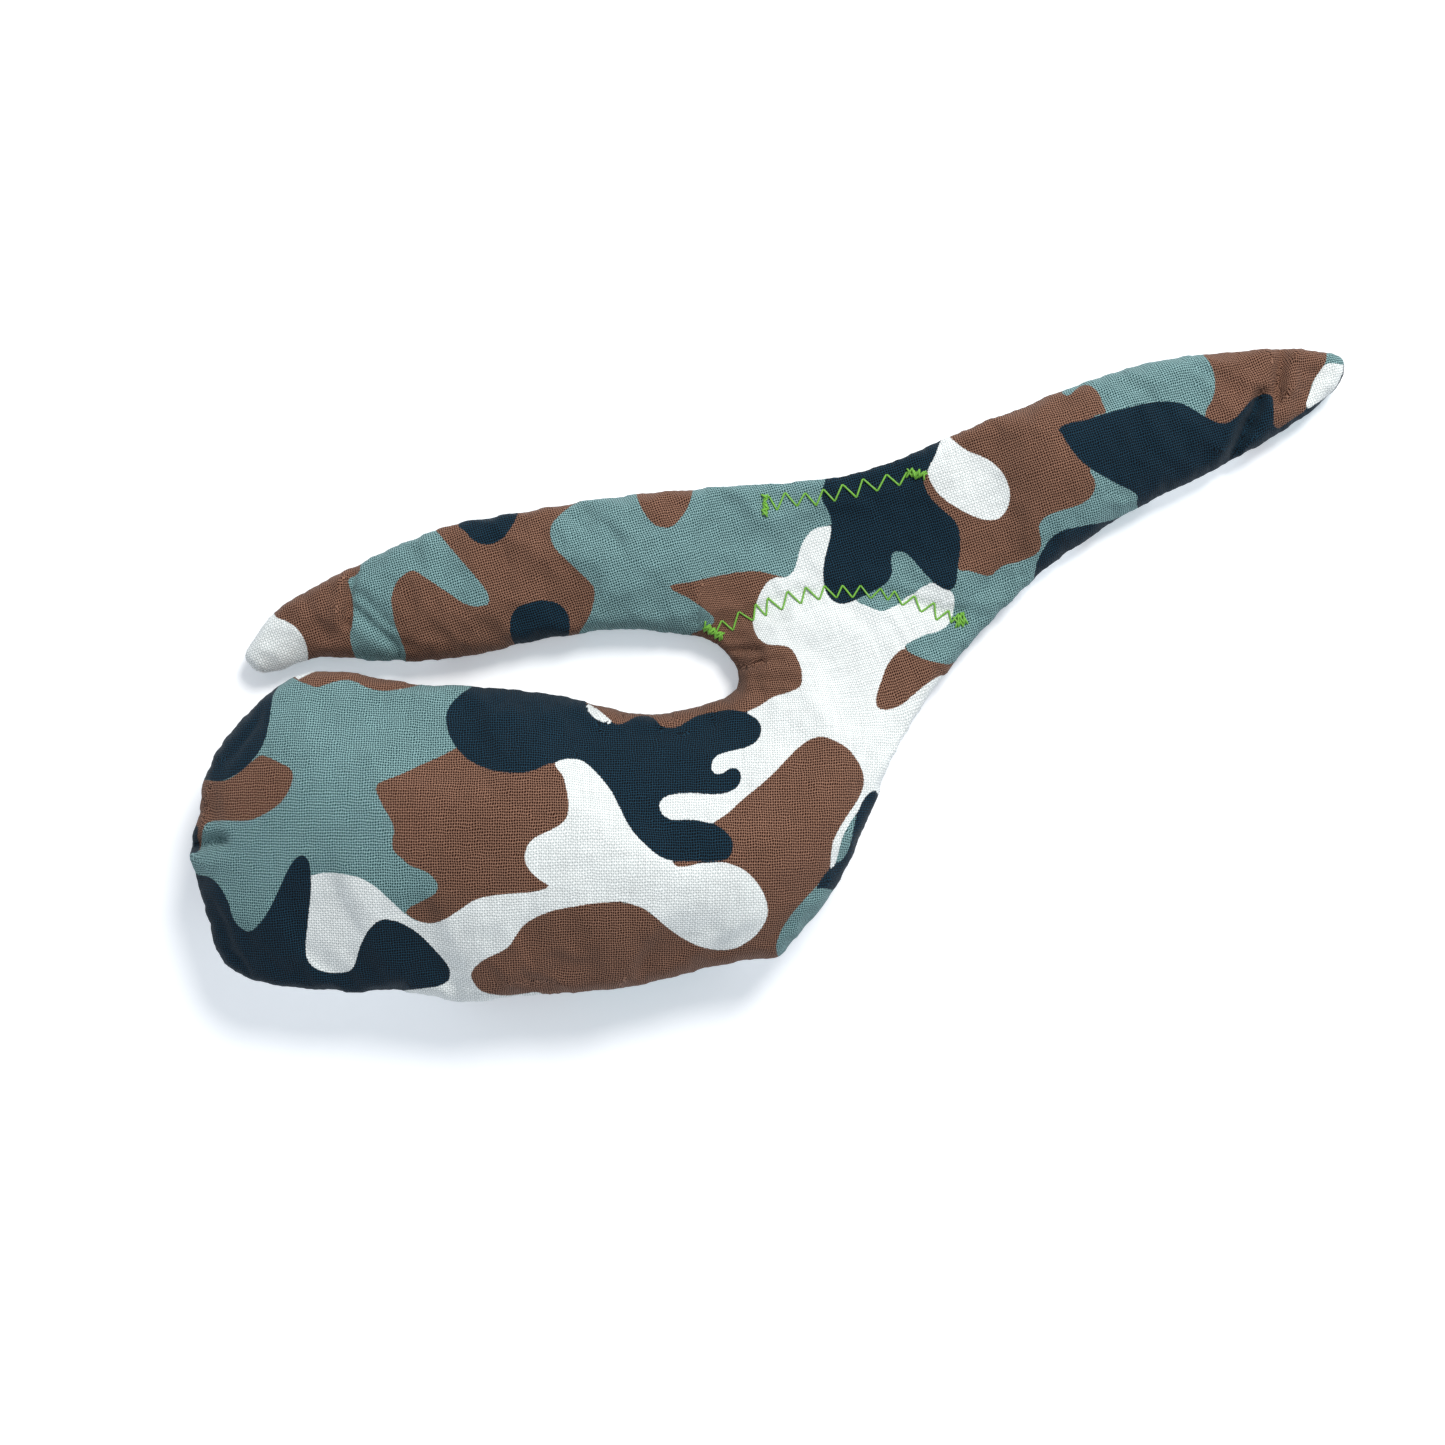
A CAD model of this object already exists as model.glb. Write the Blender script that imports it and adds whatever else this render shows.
import math

import bpy
import numpy as np
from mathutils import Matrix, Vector
from mathutils.bvhtree import BVHTree
from mathutils.geometry import delaunay_2d_cdt


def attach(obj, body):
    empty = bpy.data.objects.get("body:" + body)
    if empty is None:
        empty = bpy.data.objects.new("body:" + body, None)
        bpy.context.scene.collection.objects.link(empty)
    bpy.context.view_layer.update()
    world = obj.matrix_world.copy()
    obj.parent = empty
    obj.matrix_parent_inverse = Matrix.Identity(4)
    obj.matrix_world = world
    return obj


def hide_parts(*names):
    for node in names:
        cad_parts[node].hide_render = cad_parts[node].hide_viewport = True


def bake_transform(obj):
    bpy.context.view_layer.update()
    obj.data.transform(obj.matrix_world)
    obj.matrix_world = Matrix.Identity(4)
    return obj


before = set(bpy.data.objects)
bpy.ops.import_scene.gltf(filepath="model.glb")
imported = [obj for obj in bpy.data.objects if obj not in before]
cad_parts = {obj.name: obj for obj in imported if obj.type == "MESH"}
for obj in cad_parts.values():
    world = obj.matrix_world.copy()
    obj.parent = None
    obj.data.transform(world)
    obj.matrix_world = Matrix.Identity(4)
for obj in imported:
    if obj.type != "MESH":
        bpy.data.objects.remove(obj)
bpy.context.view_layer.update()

MM = 0.001

# ---- camera: straight down on the lying bumper ----
EYE = (-12.6, -12.65, 620.0)
SENSOR, LENS = 36, 61.19
camera = bpy.data.objects.new("camera", bpy.data.cameras.new("camera"))
bpy.context.scene.collection.objects.link(camera)
bpy.context.scene.camera = camera
camera.data.sensor_width = SENSOR
camera.data.lens = LENS
camera.data.clip_start = 0.01
camera.location = [c * MM for c in EYE]

# ---- outline of the two sewn panels, clockwise from the tip of the left wing ----
CRESCENT_TOP = [(-132.5, 3), (-130, 9), (-122.5, 17), (-105, 26.5), (-83, 36), (-58, 41), (-33, 45),
                (-8, 47), (14.5, 49), (29.5, 53), (47, 60.5), (72, 70.5), (89.5, 76.5), (107, 79.8),
                (129.5, 81.2), (140.5, 80), (143.5, 76)]
RIGHT_WING_UNDERSIDE = [(141, 70.5), (129.5, 61), (109.5, 49.5), (89.5, 39.5), (72, 28), (59.5, 17)]
NECK_RIGHT = [(49.5, 6.5), (40, -5.5), (31.5, -18)]
BODY_EDGE = [(25.5, -31.5), (20.5, -43.5), (13.5, -56), (5.5, -66), (1.5, -70.5), (-7, -71.5),
             (-20.5, -74.5), (-38, -78.5), (-57.5, -80), (-76, -81.5), (-92, -79), (-108, -79),
             (-124, -77), (-135.5, -72), (-138.5, -62.5), (-142, -49.5), (-143.5, -43.5), (-141, -34.5),
             (-139.5, -25), (-134, -15.5), (-126, -7), (-116.5, -0.5), (-104, 0), (-89.5, -2.5),
             (-72, -3.5), (-52.5, -5.5), (-33, -10), (-18, -8)]
NECK_LEFT = [(-10.5, -5), (-9, -1.5), (-11.5, 4)]
LEFT_WING_UNDERSIDE = [(-16.5, 7.5), (-28, 9.5), (-40.5, 10), (-58, 7.5), (-73, 4), (-85.5, 2.2),
                       (-100.5, 2.2), (-112.5, 3), (-120, 1), (-127.5, -1)]
OUTLINE = CRESCENT_TOP + RIGHT_WING_UNDERSIDE + NECK_RIGHT + BODY_EDGE + NECK_LEFT + LEFT_WING_UNDERSIDE

LEFT_HINGE = ((-20.2, 8.5), (-4.5, 46.5))
RIGHT_HINGE = ((59.3, 20.0), (48.8, 61.0))
FOLD_LINE = ((-12.2, 6.0), (50.0, 9.5))
SWING_LINE = ((-9.4, -3.0), (30.8, -20.0))
SWING_PIVOT = (26.0, -18.0)
GAP_X = [-160, -128, -120, -112, -100, -88, -73, -58, -40, -18]
GAP_Y = [-6, -4, -1.4, 1.3, 1.0, 0.0, 0.3, 0.8, 1.0, 1.5]
GAP_END = -18
# where one cover ends and the next begins, each beside its hinge
LEFT_SPLIT = ((-15.2, 7.0), (0.5, 47.5))
RIGHT_SPLIT = ((54.6, 13.5), (42.6, 60.0))
NECK_SPLIT = ((-9.3, 0.5), (44.5, 0.5))

# needle holes of the zigzag seams, one by one as the machine left them
LOWER_ZIGZAG = [(-14.3, 9.6), (-12.8, 12.8), (-10, 10.3), (-8.6, 15), (-4.9, 12.6), (-4.4, 17),
                (-1.7, 13.8), (-1.4, 18.5), (2.3, 15.3), (3.6, 20.2), (7, 16.8), (8.1, 21.2), (11.5, 17.8),
                (12.8, 21.5), (15.8, 18.3), (17.3, 21.6), (19.8, 18.4), (21.8, 21.6), (24.3, 18.2),
                (26.8, 20.8), (28.6, 17.8), (30.3, 20.2), (32.2, 16.5), (35.3, 19), (36.8, 14.8),
                (40.2, 17.3), (40.6, 12.8), (43.8, 15.3), (44.4, 12.2), (46.4, 14.6)]
UPPER_ZIGZAG = [(-2.6, 44), (-0.9, 43.6), (1, 40.2), (3, 44.8), (6, 41.2), (8, 44.7), (10.8, 41.4),
                (12.5, 45.6), (15.4, 42.5), (17.3, 46.8), (20.8, 43.4), (22.4, 48.2), (26, 45),
                (28.3, 49.3), (31.5, 46.4), (33.4, 49.9), (35.2, 48.6)]

# ---- the print: blotches in the order they lie over the sage ground ----
# A blotch's place is where the sight line to it from the camera crosses the level PRINT_LEVEL.
PRINT_LEVEL = 6.0
SAGE, BROWN, DARK, WHITE = range(4)


def places(*run):
    """Points from a run of x, y, x, y, and so on."""
    return list(zip(run[::2], run[1::2]))


PRINT = [
    (BROWN, places(-26, 21.3, -20, 22.6, -14, 24, -8, 25, -3.5, 25.1, 0, 24.3, 2.5, 23.6, 6, 20, 8, 10, 9, 0,
        8, -12, -10, -14, -25, -18, -38, -16, -41, -13, -44, -10.6, -46.8, -8.8, -50, -4, -40, 0, -14, -2,
        -13, 5, -20, 9, -20, 9.7, -18, 10.4, -15.6, 11.5, -14.6, 13.2, -17, 15.6, -21, 18.4)),
    (WHITE, places(-3, -8.3, 0, -6.3, 3.5, -5.2, 6.3, -4.1, 7.3, -2.3, 7, 1, 5.6, 4.3, 3.9, 6.2, 1, 6.7,
        -1.3, 6.9, -3.5, 8.3, -4.7, 10.6, -5, 13.2, -4.2, 17, -3, 20, -1.3, 22.5, 0.8, 23.6, 3.2, 23.7, 5, 25,
        6, 27.6, 7, 31.3, 8.8, 34.4, 11, 36, 13.3, 36.4, 15, 36, 17, 30, 17, 20, 20, 22, 28, 20, 34, 19.2,
        37, 21, 39.5, 22.3, 41.2, 21.8, 43, 20.7, 44.8, 19.9, 45.4, 17.6, 45, 14.6, 43.8, 11.8, 41, 10,
        38, 9.2, 35, 7.8, 33, 5.8, 36, 0, 46, -2, 46, -16, 34, -24, 28, -34, 24, -32, 18, -40, 14, -50,
        4, -46, -15, -40, -24, -40, -30, -37, -30, -30, -20, -22, -16, -16, -8, -10.8, -5.5, -9.5)),
    (BROWN, places(32.7, 5.7, 35, 4.4, 38, 3.1, 41, 2.4, 44, 1.9, 47, 3, 46, -1, 42, -0.9, 38.5, -3,
        35.5, -5.4, 32.3, -8.1, 29.3, -9.3, 27, -9.3, 25.8, -8, 26.1, -5.3, 27.2, -2, 28.4, 1.3, 30.4, 4.1)),
    (BROWN, places(-25, -46, -15.2, -38, -11.5, -35.5, -8, -32.3, -4, -29, 0, -25.5, 3.5, -21.8, 6.5, -18.8,
        9.5, -16.8, 12.5, -16.2, 15.5, -17.2, 18.5, -19, 21, -22, 22.5, -25.3, 22.6, -28.5, 21.3, -31.8,
        19, -35.3, 16.8, -38.8, 15.2, -42, 14.6, -45, 14.2, -48.8, 13, -51, 10.5, -54, 7, -57.8, 4.5, -60.8,
        2.3, -64.2, 1, -67.5, 0.9, -69.5, 2, -72, -2, -80, -12, -76, -12, -52, -25, -50)),
    (DARK, places(23.4, -31, 26, -30, 27, -38, 24, -46, 20, -55, 15, -55.5, 11, -54.3, 12, -52, 13.5, -50,
        15.5, -48.4, 17.6, -46.6, 19.1, -43.8, 19.9, -40.5, 20.8, -36.5, 22, -33.3)),
    (SAGE, places(11, -54.3, 15, -54.5, 20, -56, 16, -66, 6, -75, 1.8, -71.8, 0.9, -69.5, 1.2, -67, 2.5, -64,
        4.7, -60.7, 7.5, -57.6)),
    (BROWN, places(-121, 0, -119, -2, -116.5, -3, -114, -3.8, -111, -2.9, -107, -2, -104, -2.6, -101, -4.1,
        -97, -4.7, -92, -4.1, -86, -2.8, -80, -2.3, -74, -2, -72, 4, -100, 9, -120, 6)),
    (WHITE, places(-119, -1.7, -117.2, -1.1, -115, -0.1, -112.3, 0.9, -113, 4, -121, 3)),
    (BROWN, places(26.6, -30, 29.2, -25.7, 31.8, -20.6, 34.2, -15.6, 37, -16, 33.5, -25, 29, -32)),
    (BROWN, places(-146, -25.5, -142.5, -26.8, -138, -27.3, -134.5, -25.9, -131, -23, -128.3, -21,
        -126.5, -21.2, -123.5, -22.6, -120.7, -24.2, -120, -26.5, -121.5, -30.5, -124, -33.5, -128, -36,
        -131.5, -37.2, -137, -37.2, -141, -37.5, -142.5, -39.5, -143, -43.5, -144, -45, -150, -44,
        -150, -28)),
    (DARK, places(-123.5, -2, -125, -6, -125.7, -11, -126.7, -16, -128.5, -20, -131.5, -23.5, -134.5, -25.8,
        -138, -27.3, -141, -27, -145, -26, -152, -20, -150, 0, -130, 4)),
    (BROWN, places(-99.3, -29, -97.5, -27.3, -93.5, -25.8, -88.5, -23.5, -84, -21.5, -80, -19.5, -70, -14,
        -52, -16, -48, -30, -50, -56, -60, -58, -75, -62, -85.5, -62.9, -89, -62.2, -91.5, -60.6, -91.8, -60,
        -90.5, -58.7, -87.5, -57.2, -84.5, -55.5, -83.8, -53.5, -84.8, -51.5, -87, -49.8, -90.5, -48.5,
        -92.8, -46.6, -94.7, -44.8, -95.2, -42.5, -94.7, -39.5, -95.5, -37, -97.5, -33.5)),
    (WHITE, places(-115.4, -50.8, -112, -50.2, -107, -50.6, -103, -51.6, -99.5, -53.6, -96.5, -56.3,
        -93.8, -58.8, -91.7, -60.7, -89, -62.2, -85.5, -62.9, -82, -61.8, -78, -59.3, -74.5, -57, -70, -55.9,
        -65, -55.4, -60, -55, -56, -53.7, -58, -52.2, -60.5, -50, -62, -47.2, -61.7, -44.3, -60, -41.8,
        -57, -40.2, -54, -38.7, -51.8, -36.8, -51.1, -34, -51.5, -30, -52.5, -26, -54.5, -23, -52, -20,
        -46, -20, -38, -28, -32, -38, -26, -44, -24.6, -48.2, -21.5, -48.6, -18.5, -47.9, -13, -47.6,
        -10, -48.2, -6.5, -50, -3.5, -53.3, -1.7, -57, -1.3, -60.5, -2.5, -63.5, -5, -66.5, -8.5, -68.8,
        -12, -69.5, -15.5, -69.3, -19.5, -68.2, -24, -65.8, -28, -62.5, -31, -60, -34, -58.5, -40, -57.5,
        -45, -62, -55, -75, -58, -92, -105, -92, -112, -78, -118, -74, -119, -60, -117, -50)),
    (BROWN, places(-75.4, -76.3, -74.6, -74, -72, -71.8, -68.5, -70.2, -66, -68.6, -64.3, -66, -62.3, -63.4,
        -59.5, -61.5, -55, -59.7, -50, -58.7, -45, -57.9, -40, -57.6, -36, -58, -33, -59.1, -30, -61,
        -26, -64.2, -22, -66.9, -18, -68.7, -13.5, -69.6, -9, -69, -5.5, -67, -1, -66, 0, -70, 2, -76,
        -8, -82, -40, -88, -52, -84, -58, -80.3, -62, -80.4, -66, -80.9, -70, -80.6, -73.3, -79.5)),
    (WHITE, places(-46.8, -8.1, -44.8, -8.7, -42.6, -10.3, -40.6, -12, -39, -13.4, -41.7, -14.4, -44, -13.4,
        -47.3, -11.5)),
    (DARK, places(-74, 1, -75, -3.3, -78, -5.5, -80.8, -8.5, -81.7, -11.5, -81, -15.5, -79, -19, -76, -22,
        -72, -24, -68, -25, -63, -25.2, -59.5, -24.5, -57, -23.3, -54.5, -22.6, -52.5, -21.9, -50, -21.7,
        -47.5, -22.3, -45, -24.3, -42.5, -27, -40.3, -30, -38.5, -33.5, -36.5, -37.5, -34.5, -40.5,
        -31.5, -43.5, -28.5, -46, -25, -47.2, -20, -47.3, -15, -47.3, -11.5, -46.8, -10.3, -45, -10, -42.8,
        -11, -40.8, -13, -39, -15.5, -37.9, -19, -37.1, -22, -36.9, -25, -37, -27.4, -35.8, -28.4, -33.6,
        -27.5, -31.6, -24.5, -30.5, -20, -30.3, -15, -30.6, -11.5, -30.2, -9, -28.8, -8, -27, -8.2, -25,
        -9.5, -24, -11, -24.3, -13, -25.5, -14.7, -25.3, -15.4, -23.5, -14.3, -21.2, -11.5, -20, -7.5, -19.1,
        -4.6, -17.8, -3.1, -15.6, -3.1, -13.2, -4.6, -11.4, -7.5, -10, -11, -9.5, -15, -10.1, -19, -11,
        -21.5, -12.4, -23.5, -13.6, -26, -14, -28.3, -13.2, -29.5, -11.8, -31.5, -11, -34.3, -11.2,
        -37, -12.7, -39.5, -13.2, -41.7, -12.9, -44, -11.9, -45.8, -10.3, -46.8, -8.5, -47.5, -4, -60, 0)),
    (DARK, places(-146, -50.5, -144, -50.7, -140.5, -51.5, -138, -54, -136, -58, -135, -61.5, -133, -64,
        -130.5, -64.8, -128, -62.5, -126, -59.5, -124, -55.5, -121.5, -50, -119.5, -46.8, -117.5, -45.8,
        -116, -47.5, -115.6, -50.5, -115.5, -55, -116.2, -62, -116.8, -69, -116, -72.5, -113.5, -74.5,
        -109.5, -75.3, -106, -74.8, -104.5, -73, -103.5, -69.5, -102, -66, -100.2, -63.5, -98, -62,
        -95.5, -62, -92.5, -63, -88.5, -65.5, -84.5, -69.5, -81.5, -73, -80.7, -75.5, -81.5, -77.5,
        -84, -78.6, -89, -79.3, -93.5, -79.8, -97, -80.4, -98, -86, -120, -88, -150, -80, -152, -60)),
    (DARK, places(-144, -38.5, -143.9, -41, -143.2, -44, -144.6, -45.3, -149, -44, -149, -38)),
    (BROWN, places(36, 44, 40, 38, 46, 30, 46.3, 25.7, 49, 25.3, 51.5, 24.5, 54.4, 24, 56.2, 25.6, 58.3, 26.8,
        61.2, 27.4, 64, 28.5, 66.3, 29.9, 67.1, 32.3, 66.6, 35, 66.7, 37, 68.3, 38.8, 71.5, 40.2, 75.5, 41.4,
        78.7, 43, 80.4, 45.5, 80.4, 48.2, 79.3, 50.5, 80, 58, 80, 63.5, 83.2, 64.8, 82.4, 67.2, 81.4, 69.7,
        79.6, 71.4, 77.5, 71.7, 75.7, 70.6, 74.3, 69.3, 72.5, 69.4, 70, 72, 50, 66, 42, 62, 40, 54)),
    (WHITE, places(42, 61, 41.5, 57.5, 40.5, 54, 39, 51.2, 38.7, 49.5, 39.8, 46.8, 41.7, 44.2, 44.5, 42,
        47.5, 40.2, 51, 38.6, 54, 37.9, 56.7, 38.5, 58.5, 40.7, 59.3, 43.8, 58.7, 47.2, 57.2, 50, 54.8, 52.4,
        51.8, 54, 48.8, 55.2, 46.2, 57, 44.2, 58.8, 43.5, 61)),
    (SAGE, places(21, 18, 24, 16.3, 27, 15.2, 29.3, 15.9, 31.5, 17, 34, 19.2, 37, 21, 39, 22.5, 36.5, 26,
        33.5, 30, 29, 32, 26, 28, 24, 22)),
    (DARK, places(13, 55, 13.2, 49, 12.4, 45.5, 12.3, 43.2, 13.2, 41.3, 14.4, 38.8, 14.6, 35.5, 13.8, 31.5,
        12.8, 27.5, 12.6, 23.5, 13.3, 20, 14.8, 18, 17, 17, 19.3, 17.4, 21.3, 18.3, 24, 19.6, 26.8, 21.1,
        29, 23, 29.8, 25.3, 29.5, 28, 30, 29.7, 31.7, 30.2, 33.8, 29.3, 36.5, 26.3, 39.3, 23.2, 41.8, 21.2,
        44.3, 20.5, 45.8, 22.2, 46.2, 26, 46.8, 30.5, 46.6, 35, 45.3, 38, 42.8, 40.2, 40.2, 42.6, 38.4, 45.2,
        37.7, 48, 38.4, 50.7, 40, 53.2, 41.4, 56.5, 42, 60, 36, 64, 20, 62)),
    (BROWN, places(107, 83, 107.3, 79.7, 109, 77.7, 110.3, 74.5, 110.5, 71, 109.8, 68, 108.2, 65, 109, 60,
        120, 56, 131, 62, 133.3, 66, 134.2, 70, 135.3, 73, 137, 75.5, 138.2, 77.5, 138.5, 80, 139, 84,
        120, 86)),
    (WHITE, places(133.4, 66, 134.2, 69.8, 135.3, 72.9, 136.8, 75.2, 138.2, 76.9, 140, 77.2, 142, 76.8,
        146, 76, 144, 68, 137, 64)),
    (DARK, places(71.5, 60.8, 74, 62.1, 78, 63, 83, 64.6, 88, 65.9, 93, 67.1, 97.5, 67.6, 102, 67.2,
        105.3, 65.5, 108.5, 63.6, 112, 62.1, 115, 63, 117.3, 65.3, 119.5, 67.8, 122, 69.3, 124.5, 69.2,
        125.2, 66.5, 125.3, 61.5, 128, 59, 115, 46, 95, 36, 91, 42, 91.3, 43.5, 89.8, 45.2, 86, 47, 82.5, 49,
        79.5, 50.8, 76.5, 53.3, 74.2, 56.3, 72.3, 59.3)),
    (DARK, places(66.5, 28.5, 67.5, 30.5, 69, 32.8, 71, 34.6, 74, 35.8, 78, 36.6, 82, 37.3, 85.5, 38.2,
        89, 39.5, 93, 41, 88, 34, 75, 26, 66, 22, 65.8, 26.5)),
    (DARK, places(113, 51.5, 120, 56.2, 126.5, 60.8, 132, 64.6, 136.5, 67.5, 139.8, 70, 141.5, 72.5,
        142.6, 75.5, 142.8, 78, 142, 79.8, 145, 82, 150, 78, 146, 66, 130, 56, 116, 47)),
]
# where the white tip of the left wing meets the brown beside it
TIP_BORDER = places(-124.6, 14.6, -122, 12.9, -119.5, 11.3, -117.4, 8.6, -116.3, 5.2, -116.4, 2.5)
LEFT_WING_PRINT = [
    PRINT[0],
    (WHITE, TIP_BORDER + places(-118.5, -1, -122, -5, -138, -3, -138, 8, -128, 19)),
    (BROWN, TIP_BORDER + places(-118.5, -2, -112, -5, -100, -4, -101.5, 0.8, -103.8, 2.8, -105.2, 6,
        -105.7, 9.3, -105.1, 12, -104.9, 15.5, -105.3, 19.5, -106.2, 23, -104.5, 24, -103.3, 25.5, -104, 29,
        -112, 27, -122, 22)),
    (BROWN, places(-92, 1.5, -91.8, 4.5, -93, 8, -94.5, 12, -95.2, 16, -95.3, 19, -94, 22.5, -91.5, 24.8,
        -89.7, 25.3, -87.5, 24, -84.5, 22, -80.5, 19.3, -77.5, 17.3, -75, 16.4, -72.5, 16.5, -71, 17.2,
        -71.2, 19.2, -72.5, 21.5, -75, 24.5, -78, 28, -81, 31.5, -83, 34, -84.5, 36.5, -80, 40, -66, 46,
        -48, 44, -50.5, 41.5, -53, 39.5, -55.2, 37, -55.7, 34, -54.5, 31, -52.3, 28.7, -49.8, 26.3,
        -46.8, 23.5, -45, 21.5, -44.6, 19, -45.3, 15.5, -46.5, 12.8, -48, 10.5, -50, 8.5, -60, 5, -80, -1,
        -93, -2)),
    (DARK, places(-78.5, 37.2, -77, 35.2, -75, 33, -72.5, 31.9, -70, 32.1, -67.5, 33.5, -65.5, 36, -64, 39,
        -63.5, 42, -72, 44)),
    (DARK, places(-65.5, 13.5, -64, 16, -61, 17.3, -57.5, 17.9, -54, 17.2, -51.8, 15.3, -50.8, 12.5, -51, 9.8,
        -52, 7, -60, 5, -64, 6.5, -65.6, 9.5)),
    (BROWN, places(-34.2, 45, -33.5, 42.5, -32, 39.5, -29.8, 37, -27.3, 36.1, -25, 36.5, -22.8, 38.8,
        -21, 41.8, -20, 45.8, -20, 49, -34, 48)),
]


# ---- plan geometry ----
def sampled(points, steps=6):
    """Points along a closed Catmull-Rom curve."""
    p = np.array(points, float)
    previous, following, beyond = np.roll(p, 1, 0), np.roll(p, -1, 0), np.roll(p, -2, 0)
    runs = []
    for t in np.linspace(0, 1, steps, endpoint=False):
        runs.append(0.5 * (2 * p + (following - previous) * t
                           + (2 * previous - 5 * p + 4 * following - beyond) * t**2
                           + (3 * p - previous - 3 * following + beyond) * t**3))
    return np.stack(runs, 1).reshape(-1, 2)


def signed_distance(points, curve):
    """Distance to a closed polyline, positive inside."""
    nearest = np.full(points.shape[:-1], 1e9)
    inside = np.zeros(points.shape[:-1], bool)
    for a, b in zip(curve, np.roll(curve, -1, 0)):
        nearest = np.minimum(nearest, to_segment(points, (a, b)))
        crosses = (a[1] > points[..., 1]) != (b[1] > points[..., 1])
        rise = b[1] - a[1] if b[1] != a[1] else 1e-9
        inside ^= crosses & (points[..., 0] < a[0] + (points[..., 1] - a[1]) * (b[0] - a[0]) / rise)
    return np.where(inside, nearest, -nearest)


def to_segment(points, line):
    a, b = np.array(line[0], float), np.array(line[1], float)
    t = np.clip((points - a) @ (b - a) / max((b - a) @ (b - a), 1e-12), 0, 1)
    return np.linalg.norm(points - a - t[..., None] * (b - a), axis=-1)


def side(points, line):
    """Signed distance from a line, positive on its left."""
    a, b = np.array(line[0], float), np.array(line[1], float)
    along = (b - a) / np.linalg.norm(b - a)
    return (points - a) @ np.array([-along[1], along[0]])


def smooth(t):
    t = np.clip(t, 0, 1)
    return t * t * (3 - 2 * t)


def even(points, spacing):
    """A closed polyline walked again at an even spacing."""
    loop = np.vstack([points, points[:1]])
    lengths = np.r_[0, np.cumsum(np.linalg.norm(np.diff(loop, axis=0), axis=1))]
    count = int(round(lengths[-1] / spacing))
    at = np.arange(count) * lengths[-1] / count
    return np.stack([np.interp(at, lengths, loop[:, k]) for k in (0, 1)], 1)


WAVES = 9


def wobble(x, y, size, seed):
    """A smooth random field, mostly within -1..1, made of WAVES sine waves."""
    rng = np.random.default_rng(seed)
    total = 0
    for _ in range(WAVES):
        angle, phase, scale = rng.uniform(0, 2 * np.pi), rng.uniform(0, 2 * np.pi), rng.uniform(0.7, 1.5)
        total = total + np.sin((x * np.cos(angle) + y * np.sin(angle)) * 2 * np.pi / (size * scale) + phase)
    return total / (WAVES / 2)


# ---- heights: a membrane blown up over the outline and held down by the zigzag seams ----
EDGE_HALF, EDGE_ROUND = 1.1, 1.6     # half the sewn edge's thickness, and how far in it rounds over
FULLNESS, POWER, TYPICAL_HALF_WIDTH = 0.47, 0.58, 20.0
CRESCENT_SEAM_Z, BODY_SEAM_Z, SEAM_RISE = 6.0, 17.0, 60.0
MIDDLE_FILL, MIDDLE_REACH = 0.03, 9.0     # the unstuffed middle, and how far it goes past its hinges
BODY_RAMP, WING_RAMP, WING_START = 22.0, 14.0, 2.0     # how the stuffing begins beyond a hinge
SWEEPS, OVER_RELAXATION = 400, 1.93
STEP = 1.5      # of the grid that the membrane is worked out on
SEAM_CELLS, RIM_CELLS, RIM_SWEEPS = 0.8, 1.7, 8
GX, GY = np.arange(-153, 153.1, STEP), np.arange(-93, 93.1, STEP)
OUTLINE_CURVE = sampled(OUTLINE, 8)


def above_gap(x, y, border):
    """On the left wing: left of the border and above the gap between wing and body."""
    return (x < border) & (y > np.interp(x, GAP_X, GAP_Y))


def membrane():
    """The blown-up height over the grid, and its slope at the rim, carried on outwards."""
    plan = np.stack(np.meshgrid(GX, GY, indexing="ij"), -1)
    distance = signed_distance(plan, OUTLINE_CURVE)
    beyond_left, beyond_right = side(plan, LEFT_HINGE), -side(plan, RIGHT_HINGE)
    in_middle = (beyond_left < MIDDLE_REACH) & (beyond_right < MIDDLE_REACH)
    below_fold = -side(plan, FOLD_LINE)
    fill = np.where(below_fold > 0, smooth(below_fold / BODY_RAMP), np.where(in_middle, MIDDLE_FILL, 1.0))
    wing = above_gap(plan[..., 0], plan[..., 1], -20)
    fill = np.where(wing, smooth((beyond_left - WING_START) / WING_RAMP), fill)
    fill = np.where(beyond_right > 0, smooth((beyond_right - WING_START) / WING_RAMP), fill)
    free = distance > 0
    for seam in (LOWER_ZIGZAG, UPPER_ZIGZAG):
        middle = [((a[0] + b[0]) / 2, (a[1] + b[1]) / 2) for a, b in zip(seam, seam[1:])]
        for a, b in zip(middle, middle[1:]):
            free &= to_segment(plan, (a, b)) > SEAM_CELLS * STEP
    height = np.zeros(free.shape)
    ii, jj = np.meshgrid(range(len(GX)), range(len(GY)), indexing="ij")
    for _ in range(SWEEPS):
        for colour in (0, 1):
            around = (np.roll(height, 1, 0) + np.roll(height, -1, 0) + np.roll(height, 1, 1)
                      + np.roll(height, -1, 1) + fill * STEP**2) / 4
            own = free & ((ii + jj) % 2 == colour)
            height = np.where(own, height + OVER_RELAXATION * (around - height), height)
    known = distance > RIM_CELLS * STEP
    slope = np.where(known, height / np.maximum(distance, STEP), 0)
    for _ in range(RIM_SWEEPS):
        near = sum(np.roll(np.where(known, slope, 0), s, a) for s in (1, -1) for a in (0, 1))
        count = sum(np.roll(known, s, a).astype(int) for s in (1, -1) for a in (0, 1))
        fresh = ~known & (count > 0)
        slope = np.where(fresh, near / np.maximum(count, 1), slope)
        known = known | fresh
    return height, slope


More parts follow.
